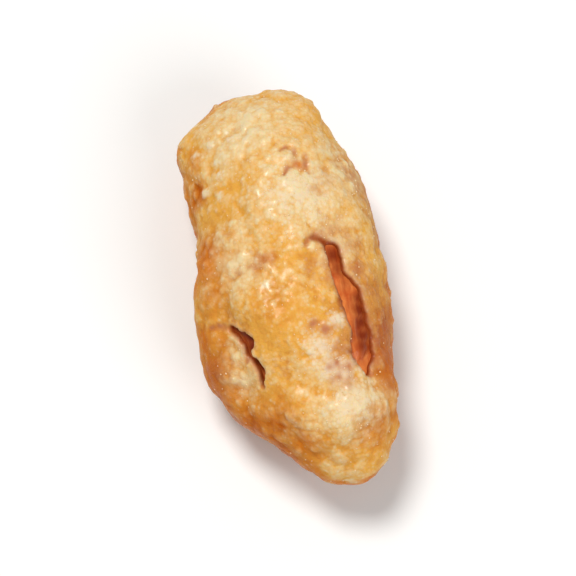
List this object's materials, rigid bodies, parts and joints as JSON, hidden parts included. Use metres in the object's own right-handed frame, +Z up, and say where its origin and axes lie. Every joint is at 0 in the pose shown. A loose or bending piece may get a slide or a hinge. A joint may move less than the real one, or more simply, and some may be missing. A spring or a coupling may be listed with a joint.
{
  "type": "toffee covered nut",
  "caption": "Long rounded peanut in a rough crystallised toffee coat, lying on its side, with tears in the coat that show the red-brown nut skin.",
  "frame": {"origin": "on the surface that the nut lies on, below the middle of its bounding box", "axes": "+Y along the nut towards its blunt end, +X to its right side seen from above, +Z up towards the side with the long tear"},
  "size_m": [0.0138, 0.0284, 0.0123],
  "materials": {
    "toffee": "rough crystallised toffee, pale cream where thick and amber where thin, with a soft gloss",
    "nut_skin": "papery red-brown nut skin under a thin syrup glaze"
  },
  "bodies": {
    "root": {"toffee_coat": "toffee", "peanut_kernel": "nut_skin"}
  },
  "joints": []
}
